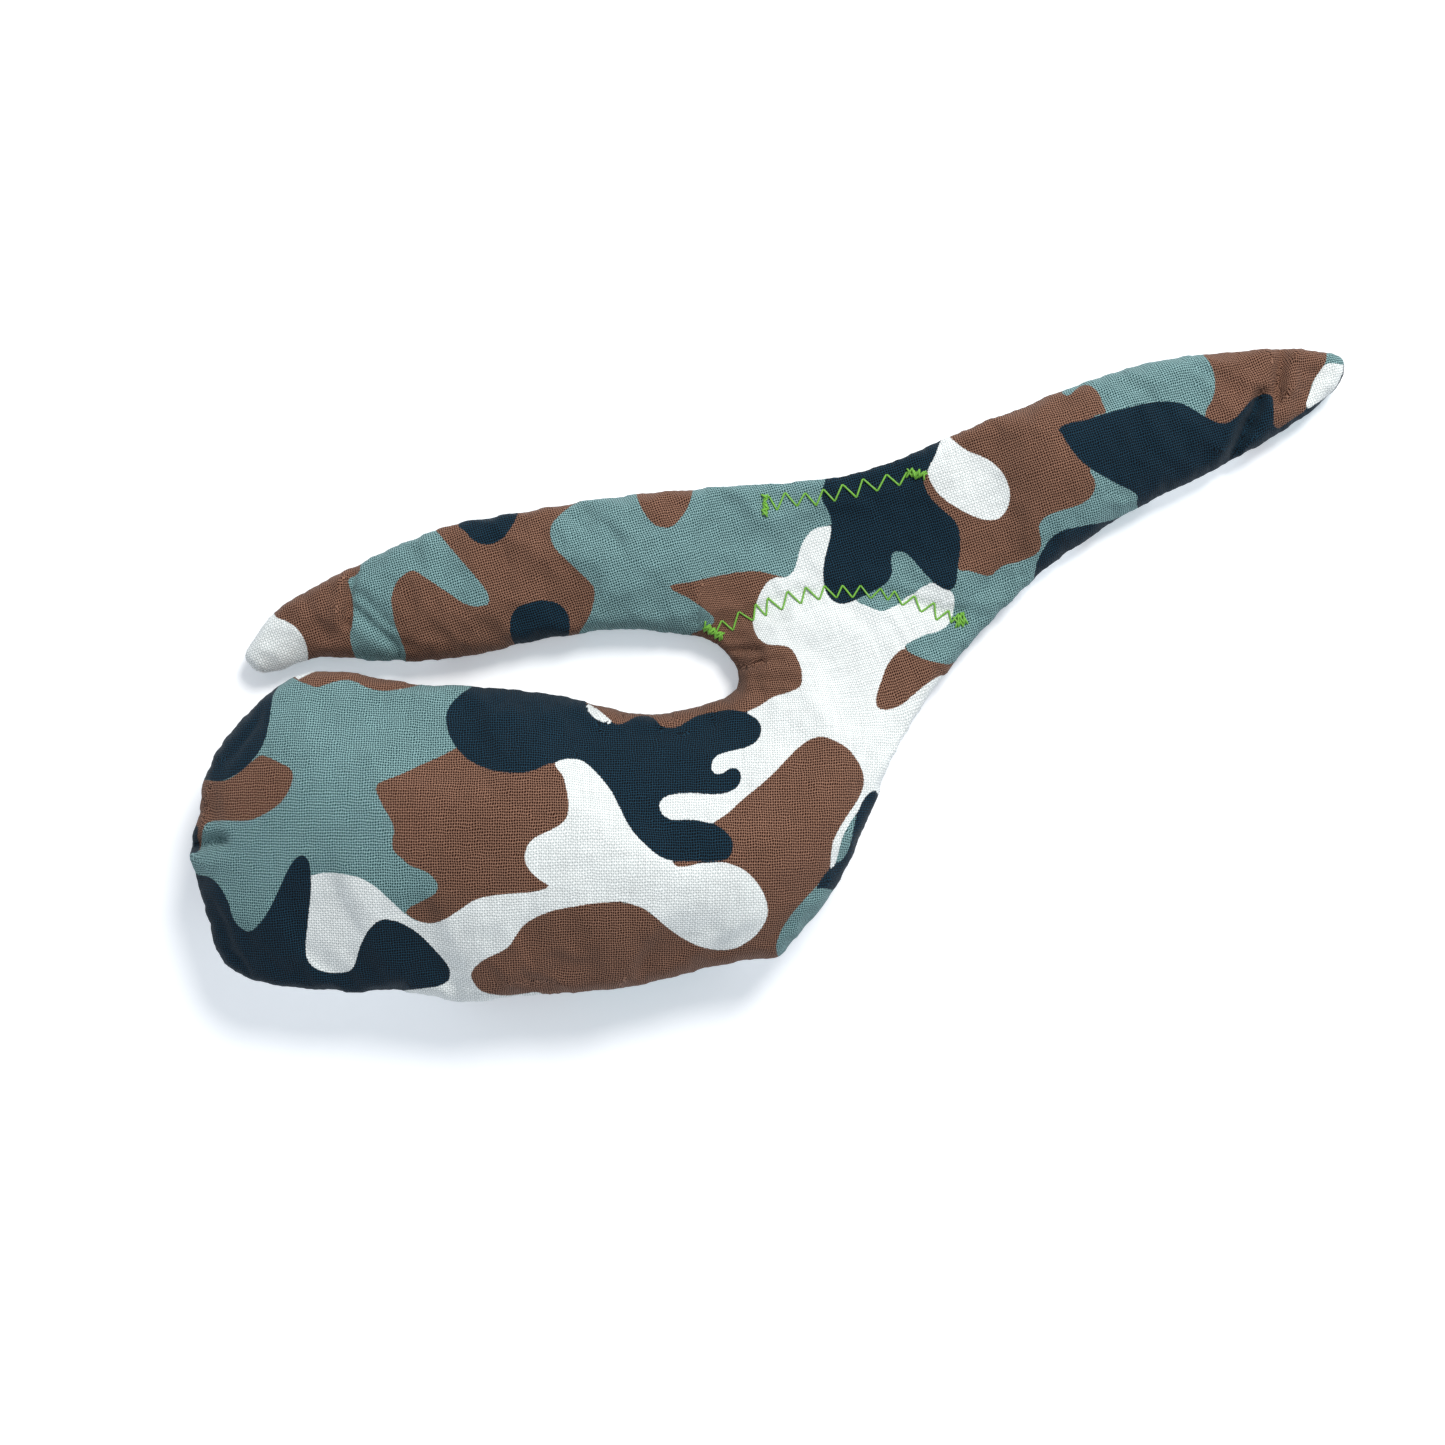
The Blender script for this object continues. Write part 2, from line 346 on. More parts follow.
def on_grid(grid, x, y):
    """A grid's value at any place, by bilinear interpolation."""
    i, j = (x - GX[0]) / STEP, (y - GY[0]) / STEP
    a, b = np.clip(i.astype(int), 0, len(GX) - 2), np.clip(j.astype(int), 0, len(GY) - 2)
    u, v = i - a, j - b
    return ((1 - u) * (1 - v) * grid[a, b] + u * (1 - v) * grid[a + 1, b]
            + (1 - u) * v * grid[a, b + 1] + u * v * grid[a + 1, b + 1])


POTENTIAL, SLOPE = membrane()


def half_height(x, y, distance):
    """Half the thickness of the stuffed shell over a place in plan."""
    near = smooth((distance - 1.5) / 3.0)
    potential = near * on_grid(POTENTIAL, x, y) + (1 - near) * on_grid(SLOPE, x, y) * np.maximum(distance, 0)
    share = 2 * np.maximum(potential, 0) / TYPICAL_HALF_WIDTH**2
    bulge = FULLNESS * TYPICAL_HALF_WIDTH * share**POWER
    t = np.clip(distance / EDGE_ROUND, 0, 1)
    return bulge + EDGE_HALF * np.sqrt(t * (2 - t))


def seam_height(x, y):
    """The edge seam lies low round the crescent and climbs to half way up the body."""
    plan = np.stack([x, y], -1)
    rise = smooth(to_segment(plan, FOLD_LINE) / SEAM_RISE)
    crescent = above_gap(x, y, GAP_END) | (side(plan, FOLD_LINE) > 0)
    return np.where(crescent, CRESCENT_SEAM_Z, CRESCENT_SEAM_Z + (BODY_SEAM_Z - CRESCENT_SEAM_Z) * rise)


# ---- the sewn shell: one triangle net for both panels, joined along the outline ----
SPACING = 2.0
ROW_HEIGHT = 0.866      # of an even triangle with sides of 1
JITTER, EDGE_CLEAR, SPLIT_CLEAR = 0.22, 0.62, 0.55      # in spacings


def split_walk(line, edge):
    """Even points along a split, inside the outline, with the edge points that they run on to."""
    a, b = np.array(line[0], float), np.array(line[1], float)
    steps = int(np.linalg.norm(b - a) * 1.4 / SPACING)
    walk = a + (b - a) * np.linspace(-0.2, 1.2, steps)[:, None]
    walk = walk[signed_distance(walk, OUTLINE_CURVE) > SPLIT_CLEAR * SPACING]
    return walk, [np.linalg.norm(edge - walk[k], axis=1).argmin() for k in (0, -1)]


def plan_net():
    """Points, triangles turned anticlockwise, and which points lie on the outline."""
    edge = even(OUTLINE_CURVE, SPACING)
    splits = [split_walk(line, edge) for line in (LEFT_SPLIT, RIGHT_SPLIT, NECK_SPLIT)]
    lattice = []
    for k, y in enumerate(np.arange(-90, 90, SPACING * ROW_HEIGHT)):
        row = np.arange(-150 + (k % 2) * SPACING / 2, 150, SPACING)
        lattice.append(np.stack([row, np.full(len(row), y)], 1))
    lattice = np.concatenate(lattice)
    rng = np.random.default_rng(5)
    lattice = lattice + rng.uniform(-JITTER, JITTER, lattice.shape) * SPACING
    keep = signed_distance(lattice, edge) > EDGE_CLEAR * SPACING
    for walk, _ in splits:
        keep &= to_segment(lattice, (walk[0], walk[-1])) > SPLIT_CLEAR * SPACING
    points = [edge]
    constraints = [(k, (k + 1) % len(edge)) for k in range(len(edge))]
    count = len(edge)
    for walk, ends in splits:
        chain = [ends[0]] + list(range(count, count + len(walk))) + [ends[1]]
        constraints += list(zip(chain, chain[1:]))
        points.append(walk)
        count += len(walk)
    points.append(lattice[keep])
    points = np.concatenate(points)
    net = delaunay_2d_cdt([Vector(p) for p in points], constraints, [], 0, 1e-6)
    plan = np.array([tuple(v) for v in net[0]])
    faces = np.array([f for f in net[2]])
    faces = faces[signed_distance(plan[faces].mean(1), edge) > 0]
    a, b, c = plan[faces[:, 0]], plan[faces[:, 1]], plan[faces[:, 2]]
    turn = (b[:, 0] - a[:, 0]) * (c[:, 1] - a[:, 1]) - (b[:, 1] - a[:, 1]) * (c[:, 0] - a[:, 0])
    faces = np.where(turn[:, None] > 0, faces, faces[:, ::-1])
    on_edge = np.abs(signed_distance(plan, edge)) < 1e-4
    return plan, faces, on_edge


PLAN, FACES, ON_EDGE = plan_net()
DISTANCE = np.where(ON_EDGE, 0, np.maximum(signed_distance(PLAN, OUTLINE_CURVE), 0.05))
X, Y = PLAN.T
HALF = half_height(X, Y, DISTANCE)
SEAM = seam_height(X, Y)
HALF[ON_EDGE] = 0
FLOOR, SETTLE = 0.25, 1.0       # cloth nearer to the table than this is eased on to it

# folds and dents pressed into the cloth: from x, y to x, y, half width, depth (negative for a ridge)
FOLDS = [
    (127.5, 84, 124.8, 67, 1.3, 2.6), (130.5, 83, 128.3, 70, 1.6, -1.1), (123.5, 83, 121.8, 70, 1.5, -0.6),
    (121.5, 69, 112.5, 50, 1.4, 3.0), (118.5, 71, 109.5, 53, 1.8, -1.1), (124.5, 66, 116, 52, 1.5, -0.5),
    (116, 78, 113.5, 70, 1.6, 0.7), (104, 74, 101, 64, 2.4, 0.45), (137, 78, 133, 70, 1.5, 0.6),
    (-103.8, 28, -105.6, 12, 1.1, 2.2), (-107.2, 26, -108, 12, 1.5, -1.0),
    (-103.5, 15.5, -93, 5.5, 1.0, 1.2), (-102.5, 19, -94.5, 11, 1.0, 0.9),
    (-101.8, 17.3, -93.5, 8.5, 1.0, -0.4), (-118, 20, -111, 9, 1.7, 0.7), (-53.5, 41, -47, 36, 1.2, 0.8),
    (-49, 42, -38, 33, 1.7, 0.6), (-46, 41, -36, 34, 1.6, -0.4), (-38, 26, -28, 21, 2.4, 0.5),
    (-66, 28, -58, 22, 2.6, 0.4), (-13, 5.4, -3.5, 5.2, 0.9, 1.6), (-12, -0.6, -3, 2.2, 1.0, 1.4),
    (-12, 2.4, 2, 2.8, 1.1, 0.8), (-12, 0.9, -2, 3.7, 0.9, -0.5), (-13, -4.2, 2, -5.6, 1.3, 0.8),
    (-12, -2.2, 5, -2.6, 1.2, 0.7), (-11, -3.4, 3, -4.1, 1.0, -0.5), (-20, -8, -15, -13, 1.6, 0.8),
    (-11, 7.8, -5, 10, 1.1, 0.7), (-146, -43.5, -133, -41, 1.4, 3.2), (-144, -38, -132, -38, 1.7, -0.8),
    (-144, -48, -132, -46, 1.7, -0.7), (-28, -15, -22, -11, 1.6, 0.8), (-34, -14, -38, -9, 1.6, 0.8),
    (-47, -12, -41, -7, 1.5, 0.7), (30, 27, 38, 33, 3.0, 0.4), (48, 15, 56, 24, 1.8, 0.7),
    (62, 24, 69, 33, 1.8, 0.6), (-100, -82, -97, -70, 2.2, 0.7), (-78, -84, -76, -72, 2.2, 0.7),
    (-55, -82, -53, -70, 2.3, 0.6), (-30, -78, -32, -66, 2.3, 0.7), (-12, -74, -14, -63, 2.0, 0.6),
    (-120, -80, -113, -68, 2.2, 0.8),
]


def pressed(points):
    """How far the folds move the front cloth: full on the crown, fading out towards the seam."""
    plan = points[:, :2]
    total = np.zeros(len(plan))
    for ax, ay, bx, by, width, depth in FOLDS:
        total -= depth * np.exp(-(to_segment(plan, ((ax, ay), (bx, by))) / width) ** 2)
    wavy = 0.10 * wobble(plan[:, 0], plan[:, 1], 13, 61) + 0.05 * wobble(plan[:, 0], plan[:, 1], 6, 71)
    return (total + wavy) * smooth((signed_distance(plan, OUTLINE_CURVE) + 0.4) / 2.2)


GATHER_AT, GATHER_WIDTH = 2.2, 2.6


def puckers(x, y, distance, seed):
    """Short gathers that stand square to the seam and die out a few millimetres in."""
    near = np.exp(-((distance - GATHER_AT) / GATHER_WIDTH) ** 2)
    along = wobble(x, y, 7.5, seed)
    return near * (0.42 * along + 0.2 * wobble(x, y, 3.8, seed + 3))


count = len(PLAN)
inner = np.flatnonzero(~ON_EDGE)
back_index = np.arange(count)
back_index[inner] = count + np.arange(len(inner))
front = np.stack([X, Y, SEAM + HALF], 1)
room = (DISTANCE > 0) * np.minimum(HALF / 3, 1)      # thin cloth gathers less
front[:, 2] += puckers(X, Y, DISTANCE, 11) * room
back = np.stack([X, Y, SEAM - HALF], 1)
back[:, 2] -= puckers(X, Y, DISTANCE, 23) * room
front[ON_EDGE, 2] = SEAM[ON_EDGE] + 0.35 * wobble(X[ON_EDGE], Y[ON_EDGE], 9, 4)
low = back[:, 2] < FLOOR + SETTLE
back[low, 2] = FLOOR + np.exp(np.minimum(back[low, 2] - FLOOR - SETTLE, 0))
SHELL = np.concatenate([front, back[inner]])
SHELL_FACES = np.concatenate([FACES, back_index[FACES][:, ::-1]])


# ---- cloth simulation: slightly too much cloth, blown up against the pinned seams ----
def mesh_object(name, points, faces):
    mesh = bpy.data.meshes.new(name)
    mesh.from_pydata([tuple(p) for p in points], [], [tuple(int(k) for k in f) for f in faces])
    mesh.update()
    obj = bpy.data.objects.new(name, mesh)
    bpy.context.scene.collection.objects.link(obj)
    return obj


def simulated(points, faces, pinned, frames=14, excess=0.035, pressure=3.0, cap=2.2):
    """The shell after a pressure cloth run, with how far each point may move kept small."""
    shell = mesh_object("cloth_run", points * MM, faces)
    group = shell.vertex_groups.new(name="pinned")
    for weight in np.unique(pinned[pinned > 0]):
        group.add([int(k) for k in np.flatnonzero(pinned == weight)], float(weight), "REPLACE")
    cloth = shell.modifiers.new("cloth", "CLOTH")
    fabric = cloth.settings
    fabric.quality = 6
    fabric.mass = 0.25
    fabric.tension_stiffness = fabric.compression_stiffness = 18
    fabric.shear_stiffness = 6
    fabric.bending_stiffness = 0.08
    fabric.tension_damping = fabric.compression_damping = fabric.shear_damping = 8
    fabric.air_damping = 3
    fabric.shrink_min = -excess
    fabric.use_pressure = True
    fabric.uniform_pressure_force = pressure
    fabric.vertex_group_mass = "pinned"
    fabric.effector_weights.gravity = 0
    cloth.collision_settings.use_collision = False
    cloth.collision_settings.use_self_collision = False
    cloth.point_cache.frame_start, cloth.point_cache.frame_end = 1, frames
    scene = bpy.context.scene
    scene.frame_start, scene.frame_end = 1, frames
    for f in range(1, frames + 1):
        scene.frame_set(f)
    evaluated = shell.evaluated_get(bpy.context.evaluated_depsgraph_get())
    moved = np.empty(len(points) * 3)
    evaluated.data.vertices.foreach_get("co", moved)
    moved = moved.reshape(-1, 3) / MM
    scene.frame_set(1)
    bpy.data.objects.remove(shell)
    shift = moved - points
    length = np.linalg.norm(shift, axis=1, keepdims=True)
    shift = shift / np.maximum(length, 1e-9) * cap * np.tanh(length / cap)
    return points + shift


SEAM_HOLD = 0.9     # how firmly the zigzag seams are pinned, against 1 for the outline
seam_lines = np.concatenate([to_segment(PLAN, (a, b))[None] for seam in (LOWER_ZIGZAG, UPPER_ZIGZAG)
                             for a, b in zip(seam, seam[1:])]).min(0)
hold = np.where(ON_EDGE, 1.0, np.where(seam_lines < 0.8 * SPACING, SEAM_HOLD, 0.0))
PINNED = np.concatenate([hold, hold[inner]])
SHELL = simulated(SHELL, SHELL_FACES, PINNED)
SHELL[:, 2] = np.maximum(SHELL[:, 2], FLOOR)

# ---- the whole shell, subdivided once, with the cover that each face goes to ----
COVERS = ["body_cover", "centre_cover", "left_wing_cover", "right_wing_cover"]
BODY, CENTRE, LEFT_WING, RIGHT_WING = range(4)
SIDES = 4       # a face's owner is its cover, plus this many on the back
CENTRES = PLAN[FACES].mean(1)
left = (side(CENTRES, LEFT_SPLIT) > 0) & above_gap(CENTRES[:, 0], CENTRES[:, 1], 3)
right = (side(CENTRES, RIGHT_SPLIT) < 0) & (CENTRES[:, 1] > 8)
lower = ~left & ~right & (CENTRES[:, 1] < NECK_SPLIT[0][1])
OWNER = np.select([lower, left, right], [BODY, LEFT_WING, RIGHT_WING], CENTRE)


def apply_modifiers(obj):
    """The object's mesh after its modifiers, which are then gone."""
    depsgraph = bpy.context.evaluated_depsgraph_get()
    mesh = bpy.data.meshes.new_from_object(obj.evaluated_get(depsgraph), preserve_all_data_layers=True,
                                           depsgraph=depsgraph)
    obj.modifiers.clear()
    obj.data = mesh


def read(collection, name, width, kind=float):
    values = np.empty(len(collection) * width, kind)
    collection.foreach_get(name, values)
    return values.reshape(-1, width) if width > 1 else values


def fine_shell():
    """Points, quads, normals and owners of the subdivided shell, with the folds pressed in."""
    shell = mesh_object("shell", SHELL * MM, SHELL_FACES)
    owner = shell.data.attributes.new("owner", "INT", "FACE")
    owner.data.foreach_set("value", np.concatenate([OWNER, OWNER + SIDES]).astype(np.int32))
    divide = shell.modifiers.new("finer", "SUBSURF")
    divide.levels = divide.render_levels = 1
    apply_modifiers(shell)
    mesh = shell.data
    points = read(mesh.vertices, "co", 3) / MM
    quads = read(mesh.loops, "vertex_index", 1, np.int32).reshape(-1, 4)
    owners = read(mesh.attributes["owner"].data, "value", 1, np.int32)
    on_front = np.zeros(len(points), bool)
    on_front[quads[owners < SIDES]] = True
    points[:, 2] += on_front * pressed(points)
    points[:, 2] = np.maximum(points[:, 2], FLOOR)
    mesh.vertices.foreach_set("co", (points * MM).ravel())
    mesh.update()
    result = points, quads, read(mesh.vertex_normals, "vector", 3), owners
    bpy.data.objects.remove(shell)
    return result


def seen_from_camera(points):
    """Where the sight line to each point crosses the print's level, for laying the print."""
    k = (EYE[2] - PRINT_LEVEL) / (EYE[2] - points[:, 2])
    return np.stack([EYE[0] + (points[:, 0] - EYE[0]) * k, EYE[1] + (points[:, 1] - EYE[1]) * k], 1)


UNDERLAP = 0.8      # an ink runs this far on below the one printed over it
FAR = 6.0           # how far round a blotch its distance is worked out


def layered(points, blotches):
    """How far inside each ink every point is, for inks laid brown, dark, then white.

    A blotch is cut out of the inks that are laid after its own, and runs on a little below them, so
    that no ground shows along a border between two inks.
    """
    depth = np.full((4, len(points)), -FAR)
    for colour, outline in blotches:
        curve = sampled(outline)
        near = ((points > curve.min(0) - FAR) & (points < curve.max(0) + FAR)).all(1)
        inside = np.full(len(points), -FAR)
        inside[near] = signed_distance(points[near], curve)
        reach = inside.copy()
        for other in (BROWN, DARK, WHITE):
            if other > colour:
                if colour != SAGE:
                    reach = np.maximum(reach, np.minimum(inside + UNDERLAP, depth[other]))
                depth[other] = np.minimum(depth[other], -inside)
            elif other < colour:
                depth[other] = np.minimum(depth[other], UNDERLAP - inside)
        depth[colour] = np.maximum(depth[colour], reach)
    return depth


RELAX_STEPS, MOMENTUM = 260, 0.9


def laid_flat(quads):
    """Plan places spread out until every run of cloth keeps its own length, as when the panel is cut."""
    pairs = np.concatenate([quads[:, [a, b]] for a, b in ((0, 1), (1, 2), (2, 3), (3, 0), (0, 2), (1, 3))])
    a, b = np.unique(np.sort(pairs, 1), axis=0).T
    total = len(POINTS)
    length = np.linalg.norm(POINTS[a] - POINTS[b], axis=1)
    share = np.maximum(np.bincount(a, minlength=total) + np.bincount(b, minlength=total), 1)[:, None]
    flat, drift = POINTS[:, :2].copy(), np.zeros((total, 2))
    for _ in range(RELAX_STEPS):
        run = flat[b] - flat[a]
        now = np.maximum(np.linalg.norm(run, axis=1), 1e-6)
        pull = run * (0.5 * (now - length) / now)[:, None]
        move = np.stack([np.bincount(a, pull[:, k], total) - np.bincount(b, pull[:, k], total)
                         for k in (0, 1)], 1)
        drift = MOMENTUM * drift + move / share
        flat += drift
    return flat


GRAIN_SWING = math.radians(-17.0)


def grain(flat):
    """Thread coordinates of the cloth: the crescent's threads are swung round the neck."""
    pivot, plan = np.array(SWING_PIVOT), POINTS[:, :2]
    swing = smooth((side(plan, SWING_LINE) + 6) / 30.0)
    swing[above_gap(plan[:, 0], plan[:, 1], GAP_END)] = 1.0
    cosine, sine = math.cos(GRAIN_SWING), math.sin(GRAIN_SWING)
    turn = np.array([[cosine, sine], [-sine, cosine]])
    return flat + swing[:, None] * (pivot + (flat - pivot) @ turn - flat)


def add_field(mesh, name, values, domain="POINT"):
    mesh.attributes.new(name, "FLOAT", domain).data.foreach_set("value", values.astype(np.float32))


# ---- materials ----
class Nodes:
    """A small hand for wiring a procedural material."""

    def __init__(self, name):
        self.material = bpy.data.materials.new(name)
        self.material.use_nodes = True
        self.tree = self.material.node_tree
        self.tree.nodes.clear()

    def put(self, socket, value):
        if isinstance(value, bpy.types.NodeSocket):
            self.tree.links.new(value, socket)
        else:
            socket.default_value = value

    def math(self, operation, *values):
        node = self.tree.nodes.new("ShaderNodeMath")
        node.operation = operation
        for socket, value in zip(node.inputs, values):
            self.put(socket, value)
        return node.outputs[0]

    def field(self, name, output="Fac"):
        node = self.tree.nodes.new("ShaderNodeAttribute")
        node.attribute_name = name
        return node.outputs[output]

    def mix(self, factor, a, b, mode="MIX"):
        node = self.tree.nodes.new("ShaderNodeMix")
        node.data_type = "RGBA"
        node.blend_type = mode
        self.put(node.inputs[0], factor)
        self.put(node.inputs[6], a)
        self.put(node.inputs[7], b)
        return node.outputs[2]

    def noise(self, vector, scale, detail=2.0, rough=0.5):
        node = self.tree.nodes.new("ShaderNodeTexNoise")
        self.put(node.inputs["Vector"], vector)
        self.put(node.inputs["Scale"], scale)
        self.put(node.inputs["Detail"], detail)
        self.put(node.inputs["Roughness"], rough)
        return node.outputs["Fac"]

    def combine(self, x, y, z):
        node = self.tree.nodes.new("ShaderNodeCombineXYZ")
        for socket, value in zip(node.inputs, (x, y, z)):
            self.put(socket, value)
        return node.outputs[0]

    def ramp(self, value, low, high, out_low, out_high):
        node = self.tree.nodes.new("ShaderNodeMapRange")
        for socket, number in zip(node.inputs, (value, low, high, out_low, out_high)):
            self.put(socket, number)
        return node.outputs[0]

    def add(self, *values):
        return self.math("ADD", *values)

    def times(self, *values):
        return self.math("MULTIPLY", *values)

    def minus(self, *values):
        return self.math("SUBTRACT", *values)

    def finish(self, colour, roughness, height=None, strength=0.5, distance=0.0003, sheen=0.0, specular=0.5):
        shader = self.tree.nodes.new("ShaderNodeBsdfPrincipled")
        self.put(shader.inputs["Base Color"], colour)
        self.put(shader.inputs["Roughness"], roughness)
        self.put(shader.inputs["Sheen Weight"], sheen)
        self.put(shader.inputs["Specular IOR Level"], specular)
        if height is not None:
            bump = self.tree.nodes.new("ShaderNodeBump")
            self.put(bump.inputs["Strength"], strength)
            self.put(bump.inputs["Distance"], distance)
            self.put(bump.inputs["Height"], height)
            self.put(shader.inputs["Normal"], bump.outputs[0])
        out = self.tree.nodes.new("ShaderNodeOutputMaterial")
        self.tree.links.new(shader.outputs[0], out.inputs[0])
        return self.material


def linear(r, g, b):
    """An 8-bit display colour as linear light."""
    light = [c / 255 / 12.92 if c <= 10 else ((c / 255 + 0.055) / 1.055) ** 2.4 for c in (r, g, b)]
    return (*light, 1.0)


INK = {SAGE: linear(134, 165, 167), BROWN: linear(138, 105, 88), DARK: linear(24, 54, 71),
       WHITE: linear(235, 238, 238)}
WARP, WEFT = 0.57, 0.63     # thread spacings in millimetres
GAP_START, GAP_DEPTH = -0.9, 3.6        # width and darkness of the gaps between threads
OVER_SHADE, STREAK_SHADE = 0.14, 0.35   # how much threads on top, and uneven threads, change the ink
BLOT_SHIFT, BLOT_SHARPNESS = (40.0, -28.0), 60.0
BLOT_LEVELS = (0.5, 0.56, 0.565)        # where brown, dark and white begin in the back's noise


def weave(n):
    """Plain weave from the thread coordinates: the gaps between threads, and which one is on top."""
    u0, v0 = n.field("grain_u"), n.field("grain_v")
    place = n.combine(u0, v0, 0.0)
    drift = n.times(n.minus(n.noise(place, 0.35, 2.0), 0.5), 0.9)
    u = n.times(n.add(u0, drift), 2 * math.pi / WARP)
    v = n.times(n.add(v0, drift), 2 * math.pi / WEFT)
    gap = n.times(*[n.ramp(n.math("COSINE", turn), GAP_START, 1.0, 0.0, 1.0) for turn in (u, v)])
    over = n.times(*[n.math("SINE", n.times(turn, 0.5)) for turn in (u, v)])
    long_u = n.noise(n.combine(n.times(u0, 0.12), n.times(v0, 1.7), 0.0), 1.0, 2.0)
    long_v = n.noise(n.combine(n.times(u0, 1.9), n.times(v0, 0.12), 3.0), 1.0, 2.0)
    return gap, over, n.add(long_u, long_v), place


def cotton(name, printed):
    """The canvas: with the front's print from its attributes, or with the back's noise blotches."""
    n = Nodes(name)
    gap, over, streak, place = weave(n)
    bleed = n.times(n.minus(n.noise(place, 2.4, 1.0), 0.5), 0.5)
    if printed:
        depths = [(BROWN, n.field("brown")), (DARK, n.field("dark")), (WHITE, n.field("white"))]
    else:
        bend = n.noise(place, 0.028, 1.0)
        u, v = [n.add(n.field(f"grain_{k}"), n.times(bend, shift)) for k, shift in zip("uv", BLOT_SHIFT)]
        blots = [n.noise(n.combine(u, v, layer), 0.034, 0.6) for layer in (5.0, 19.0, 47.0)]
        depths = [(ink, n.times(n.minus(blot, level), BLOT_SHARPNESS))
                  for ink, blot, level in zip((BROWN, DARK, WHITE), blots, BLOT_LEVELS)]
    colour = INK[SAGE]
    for ink, depth in depths:
        colour = n.mix(n.ramp(n.add(depth, bleed), -0.09, 0.09, 0.0, 1.0), colour, INK[ink])
    deep = n.tree.nodes.new("ShaderNodeGamma")
    n.put(deep.inputs[0], colour)
    n.put(deep.inputs[1], n.add(1.0, n.times(gap, GAP_DEPTH)))
    worn = n.ramp(n.noise(place, 0.09, 3.0), 0.3, 0.7, 0.95, 1.05)
    shade = n.add(worn, n.add(n.times(over, OVER_SHADE), n.times(n.minus(streak, 1.0), STREAK_SHADE)))
    colour = n.mix(1.0, deep.outputs[0], n.combine(shade, shade, shade), "MULTIPLY")
    height = n.minus(n.add(n.times(over, 0.25), n.times(streak, 0.3)), gap)
    rough = n.ramp(n.noise(place, 0.6, 2.0), 0.0, 1.0, 0.82, 0.96)
    return n.finish(colour, rough, height, 0.6, 0.0002, sheen=0.05, specular=0.15)


def sewing_thread():
    """Bright green thread, with its twist as diagonal bands."""
    n = Nodes("green_thread")
    place = n.tree.nodes.new("ShaderNodeTexCoord").outputs["Object"]
    fuzz = n.noise(place, 2600.0, 2.0)
    wave = n.tree.nodes.new("ShaderNodeTexWave")
    wave.bands_direction = "DIAGONAL"
    n.put(wave.inputs["Vector"], place)
    n.put(wave.inputs["Scale"], 1500.0)
    n.put(wave.inputs["Distortion"], 0.5)
    twist = wave.outputs["Fac"]
    colour = n.mix(n.add(n.times(twist, 0.6), n.times(fuzz, 0.4)), linear(60, 128, 22), linear(140, 208, 66))
    return n.finish(colour, n.ramp(fuzz, 0.0, 1.0, 0.38, 0.6), twist, 0.6, 0.00008, sheen=0.1, specular=0.5)


def hole_shade():
    """The dark cloth in a needle hole."""
    n = Nodes("needle_hole")
    place = n.tree.nodes.new("ShaderNodeTexCoord").outputs["Object"]
    fuzz = n.noise(place, 3000.0, 2.0)
    colour = n.mix(fuzz, linear(14, 22, 16), linear(52, 62, 48))
    return n.finish(colour, n.ramp(fuzz, 0.0, 1.0, 0.8, 1.0), fuzz, 0.4, 0.00005, specular=0.1)


FRONT_COTTON, BACK_COTTON = cotton("printed_cotton_front", True), cotton("printed_cotton_back", False)
THREAD, HOLE = sewing_thread(), hole_shade()


def cap(quads):
    """Faces that close a cover where it was cut off: a ladder between its front and back borders."""
    ends = np.concatenate([quads[:, [k, (k + 1) % 4]] for k in range(4)])
    there = {tuple(e) for e in ends.tolist()}
    after = {b: a for a, b in there if (b, a) not in there}
    rungs = []
    while after:
        start = next(iter(after))
        loop = [start]
        while after[loop[-1]] != start:
            loop.append(after[loop[-1]])
        for k in loop:
            del after[k]
        points = POINTS[loop, :2]
        far = int(np.linalg.norm(points - points.mean(0), axis=1).argmax())
        loop = loop[far:] + loop[:far]
        up, down = 0, len(loop)
        while up + 1 < down - 1:
            ring = [loop[up], loop[up + 1], loop[down - 1], loop[down % len(loop)]]
            rungs.append([k for i, k in enumerate(ring) if k not in ring[:i]])
            up, down = up + 1, down - 1
    return rungs


LEFT_PRINT_END = -16       # the left wing's blotches run on into the middle as far as here


def cover(name, number):
    """One of the four covers, cut from the shell, with the shell's own normals along the cuts."""
    chosen = np.flatnonzero(OWNERS % SIDES == number)
    face_side = OWNERS[chosen] // SIDES
    quads = QUADS[chosen]
    ends = cap(quads)
    polygons = quads.tolist() + ends
    used = sorted({k for p in polygons for k in p})
    place = {k: i for i, k in enumerate(used)}
    obj = mesh_object(name, POINTS[used] * MM, [[place[k] for k in p] for p in polygons])
    mesh = obj.data
    mesh.materials.append(FRONT_COTTON)
    mesh.materials.append(BACK_COTTON)
    mesh.polygons.foreach_set("material_index", face_side.tolist() + [1] * len(ends))
    mesh.polygons.foreach_set("use_smooth", [True] * len(polygons))
    flat = [tuple(mesh.polygons[len(quads) + k].normal) for k, p in enumerate(ends) for _ in p]
    mesh.normals_split_custom_set(NORMALS[quads.ravel()].tolist() + flat)
    seen = seen_from_camera(POINTS[used])
    depth = layered(seen, LEFT_WING_PRINT if number == LEFT_WING else PRINT)
    if number == CENTRE:
        depth = np.where(seen[:, 0] < LEFT_PRINT_END, layered(seen, LEFT_WING_PRINT), depth)
    for field, values in (("brown", depth[BROWN]), ("dark", depth[DARK]), ("white", depth[WHITE])):
        add_field(mesh, field, values)
    corners = np.concatenate([GRAIN[face_side[:, None], quads].reshape(-1, 2),
                              GRAIN[1, [k for p in ends for k in p]]])
    add_field(mesh, "grain_u", corners[:, 0], "CORNER")
    add_field(mesh, "grain_v", corners[:, 1], "CORNER")
    return obj


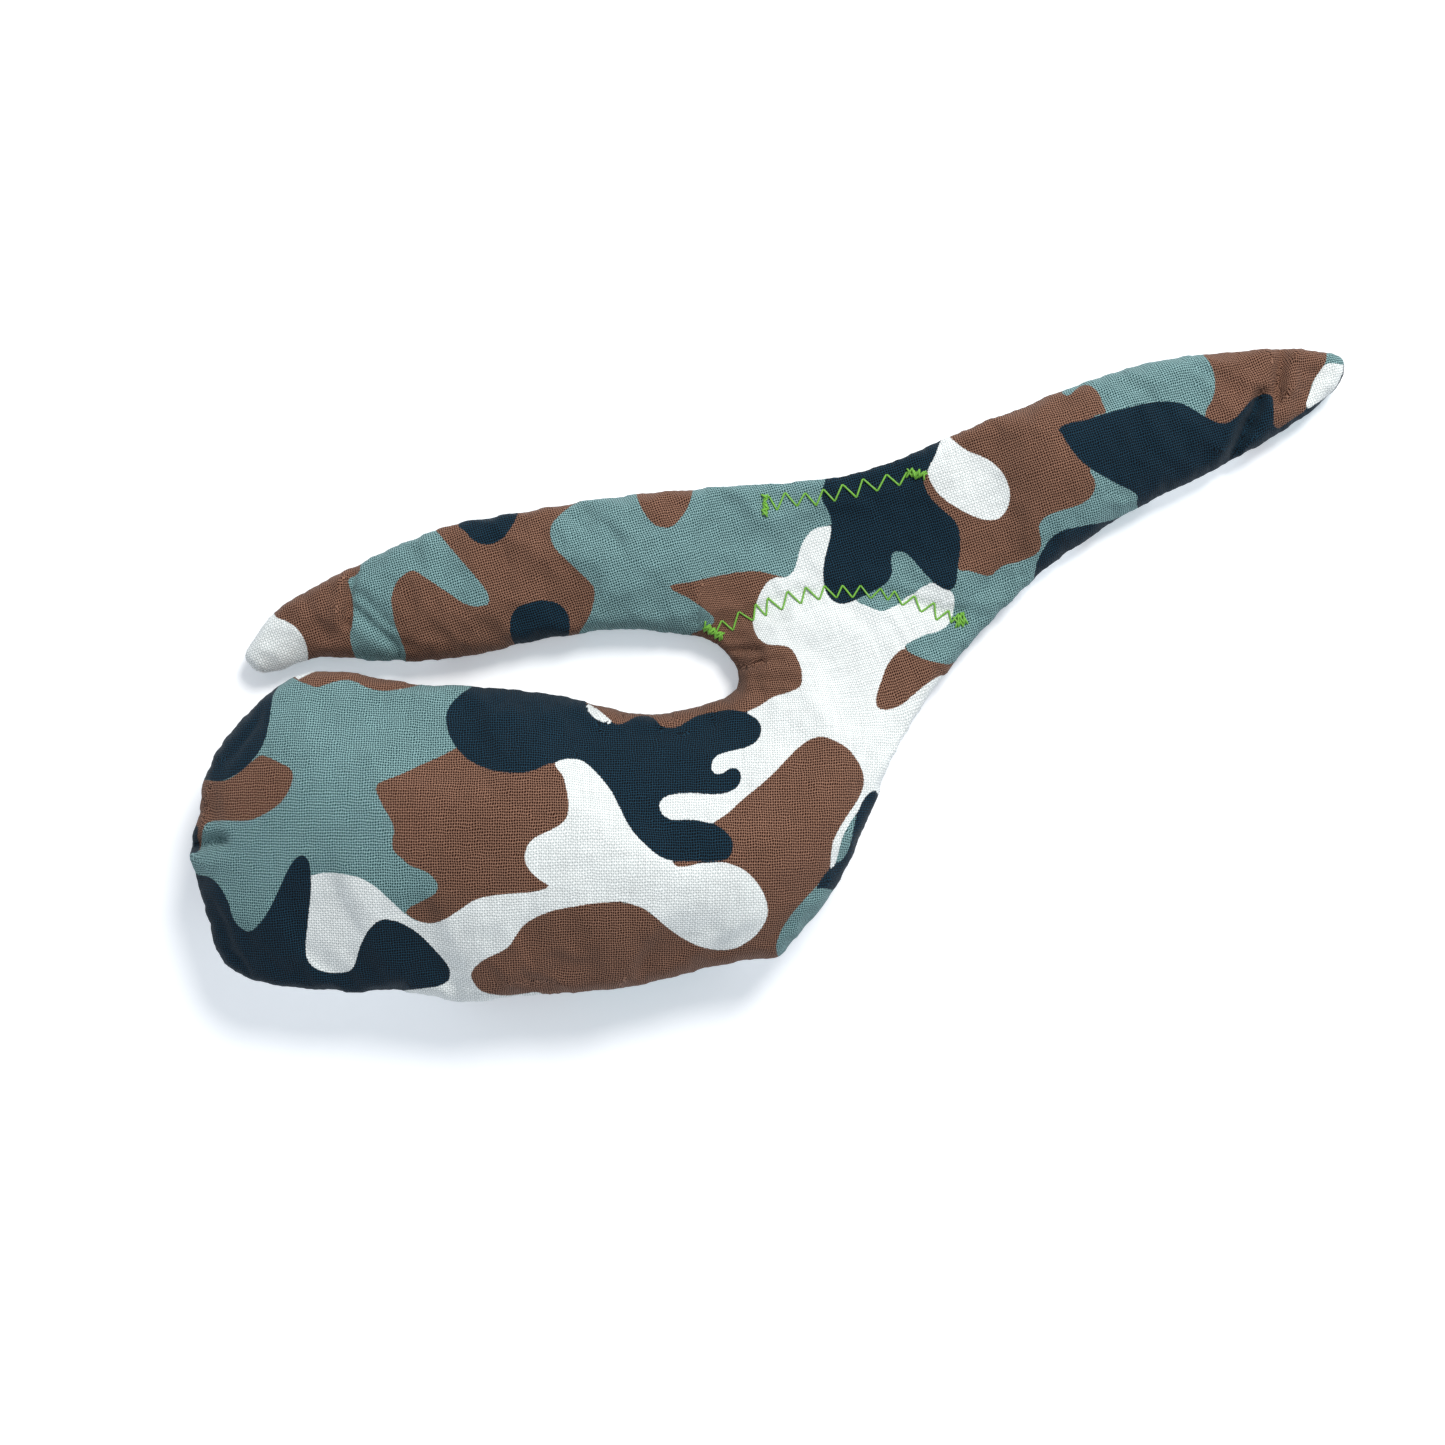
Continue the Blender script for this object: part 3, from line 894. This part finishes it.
POINTS, QUADS, NORMALS, OWNERS = fine_shell()
GRAIN = np.stack([grain(laid_flat(QUADS[OWNERS // SIDES == face])) for face in (0, 1)])
covers = {name: cover(name, number) for number, name in enumerate(COVERS)}


def at(x, y, z):
    return (x * MM, y * MM, z * MM)


# each cover bends between two bodies, over a band that crosses its hinge
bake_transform(covers["body_cover"])
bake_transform(covers["centre_cover"])
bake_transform(covers["left_wing_cover"])
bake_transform(covers["right_wing_cover"])
PARTS = ("front_panel", "back_panel", "turned_allowance", "filling")
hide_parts(*[f"body_{p}" for p in PARTS], *[f"neck_{p}" for p in PARTS])
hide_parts(*[f"middle_{p}" for p in PARTS[:3]])
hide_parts(*[f"left_wing_{p}" for p in PARTS])
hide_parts(*[f"right_wing_{p}" for p in PARTS])


# ---- threads: zigzag lockstitch and dense end tacks lying on the cloth ----
SHELL_TREE = BVHTree.FromPolygons([Vector(p) for p in POINTS * MM], QUADS.tolist())


def cloth_z(x, y, front_side):
    """The cloth's height over a place, on the front or on the back."""
    start = Vector(at(x, y, 60 if front_side else -60))
    hit = SHELL_TREE.ray_cast(start, Vector((0, 0, -1 if front_side else 1)))[0]
    return hit.z / MM if hit else CRESCENT_SEAM_Z


def tube(path, radius, sides=8):
    """Rings of a round thread along a path, closed at its ends."""
    path = np.array(path)
    tangent = np.gradient(path, axis=0)
    tangent /= np.linalg.norm(tangent, axis=1)[:, None]
    across = np.cross(tangent, [0, 0, 1.0])
    across /= np.maximum(np.linalg.norm(across, axis=1), 1e-6)[:, None]
    up = np.cross(across, tangent)
    angles = np.arange(sides) * 2 * np.pi / sides
    rings = path[:, None] + radius * (np.cos(angles)[None, :, None] * across[:, None]
                                      + np.sin(angles)[None, :, None] * up[:, None])
    points = rings.reshape(-1, 3)
    faces = []
    for r in range(len(path) - 1):
        for k in range(sides):
            a, b = r * sides + k, r * sides + (k + 1) % sides
            faces.append((a, a + sides, b + sides, b))
    faces.append(tuple(range(sides))[::-1])
    faces.append(tuple((len(path) - 1) * sides + k for k in range(sides)))
    return points, faces


def joined(name, tubes):
    """One thread-coloured object out of several meshes."""
    points, faces, start = [], [], 0
    for p, f in tubes:
        points.append(p)
        faces += [tuple(k + start for k in face) for face in f]
        start += len(p)
    obj = mesh_object(name, np.concatenate(points) * MM, faces)
    obj.data.polygons.foreach_set("use_smooth", [True] * len(obj.data.polygons))
    obj.data.materials.append(THREAD)
    return obj


RADIUS = 0.24
HOLE_RADIUS, HOLE_RIM, HOLE_DEPTH, HOLE_SIDES = 0.3, 0.05, 0.1, 10
BED, ARCH = 0.55, 0.22      # a thread's bed on the cloth, in radii, and its rise in mid stitch
DIP, DIP_SHARE = 0.55, 0.1      # how deep a stitch dives at its ends, over which share of it


def needle_hole(spot, front_side):
    """A shallow dark dimple where the needle went through."""
    sign = 1 if front_side else -1
    angles = np.arange(HOLE_SIDES) * 2 * np.pi / HOLE_SIDES
    z = cloth_z(*spot, front_side)
    rim = np.stack([spot[0] + HOLE_RADIUS * np.cos(angles), spot[1] + HOLE_RADIUS * np.sin(angles),
                    np.full(HOLE_SIDES, z + sign * HOLE_RIM)], 1)
    faces = [(k, (k + 1) % HOLE_SIDES, HOLE_SIDES)[::sign] for k in range(HOLE_SIDES)]
    return np.vstack([rim, [(*spot, z - sign * HOLE_DEPTH)]]), faces


def stitch(a, b, front_side, lift=0.0):
    """One run of thread: out of a needle hole, over the cloth, into the next."""
    sign = 1 if front_side else -1
    path = []
    for t in np.linspace(0, 1, 11):
        x, y = a[0] + (b[0] - a[0]) * t, a[1] + (b[1] - a[1]) * t
        dip = DIP * (1 - min(1, min(t, 1 - t) / DIP_SHARE)) ** 2
        clear = RADIUS * BED + ARCH * math.sin(math.pi * t) + lift - dip
        path.append((x, y, cloth_z(x, y, front_side) + sign * clear))
    return tube(path, RADIUS)


TACK_PASSES, TACK_PITCH, TACK_LIFT = 3, 0.85, 0.2


def tack(place, along, length, width, seed, front_side):
    """A locking knot: close zigzag stitches in TACK_PASSES layers over one another."""
    rng = np.random.default_rng(seed)
    along = np.array(along) / np.linalg.norm(along)
    across = np.array([-along[1], along[0]])
    runs = []
    for layer in range(TACK_PASSES):
        steps = np.arange(int(length / TACK_PITCH) + 1)
        spots = [np.array(place) + along * ((k / steps[-1] - 0.5) * length * rng.uniform(0.8, 1.08)
                                            + rng.uniform(-0.4, 0.4))
                 + across * width / 2 * (1 if (k + layer) % 2 else -1) * rng.uniform(0.45, 1.2)
                 for k in steps]
        runs += [stitch(a, b, front_side, lift=TACK_LIFT * layer) for a, b in zip(spots, spots[1:])]
    return runs


# place, direction, length and width of the end tacks
TACKS = [((-14.9, 10.0), (5, -3), 5.4, 2.0), ((46.8, 12.9), (1, 0.3), 2.8, 3.1),
         ((-2.0, 41.4), (0, 1), 5.0, 1.5), ((35.6, 49.3), (1, -0.2), 4.8, 2.3)]
ZIGZAGS = {"lower_zigzag": LOWER_ZIGZAG, "upper_zigzag": UPPER_ZIGZAG}
for front_side, side_name, thread in ((True, "front", "needle_thread"), (False, "back", "bobbin_thread")):
    for name, holes in ZIGZAGS.items():
        runs = [stitch(a, b, front_side) for a, b in zip(holes, holes[1:])]
        dots = [needle_hole(spot, front_side) for spot in holes]
        piece = joined(f"{name}_{thread}_visual", runs + dots)
        piece.data.materials.append(HOLE)
        sewn = sum(len(faces) for _, faces in runs)
        for polygon in piece.data.polygons[sewn:]:
            polygon.material_index = 1
        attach(piece, "middle")
        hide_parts(f"{name}_{thread}")
    runs = []
    for k, (place, along, length, width) in enumerate(TACKS):
        runs += tack(place, along, length, width, 30 + k, front_side)
    piece = joined(f"end_tacks_{side_name}_visual", runs)
    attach(piece, "middle")
    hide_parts(f"end_tacks_{side_name}")


# ---- floor and light ----
def light_table():
    """A pale floor that glows a little, which keeps the shadows faint."""
    n = Nodes("pale_floor")
    place = n.tree.nodes.new("ShaderNodeTexCoord").outputs["Object"]
    tone = n.ramp(n.noise(place, 3.0, 2.0), 0.0, 1.0, 0.93, 0.96)
    material = n.finish(n.combine(tone, tone, n.add(tone, 0.02)), 0.7, specular=0.1)
    shader = next(node for node in n.tree.nodes if node.type == "BSDF_PRINCIPLED")
    shader.inputs["Emission Color"].default_value = (0.86, 0.93, 1.0, 1)
    shader.inputs["Emission Strength"].default_value = 0.3
    return material


FLOOR_HALF = 3      # metres
corners = [(-FLOOR_HALF, -FLOOR_HALF, 0), (FLOOR_HALF, -FLOOR_HALF, 0), (FLOOR_HALF, FLOOR_HALF, 0),
           (-FLOOR_HALF, FLOOR_HALF, 0)]
floor = mesh_object("floor", np.array(corners), [(0, 1, 2, 3)])
floor.data.materials.append(light_table())


def area(name, place, size, power, colour):
    """A round lamp that looks at the origin."""
    light = bpy.data.lights.new(name, "AREA")
    light.shape = "DISK"
    light.size = size
    light.energy = power
    light.color = colour
    obj = bpy.data.objects.new(name, light)
    bpy.context.scene.collection.objects.link(obj)
    obj.location = place
    obj.rotation_mode = "QUATERNION"
    obj.rotation_quaternion = (-Vector(place)).to_track_quat("-Z", "Y")


area("key", (0.34, 0.68, 0.92), 0.45, 12.4, (1.0, 0.975, 0.93))
world = bpy.data.worlds.new("studio")
bpy.context.scene.world = world
world.use_nodes = True
background = world.node_tree.nodes["Background"]
background.inputs["Color"].default_value = (0.88, 0.94, 1.0, 1)
background.inputs["Strength"].default_value = 0.55
bpy.context.scene.view_settings.view_transform = "Standard"
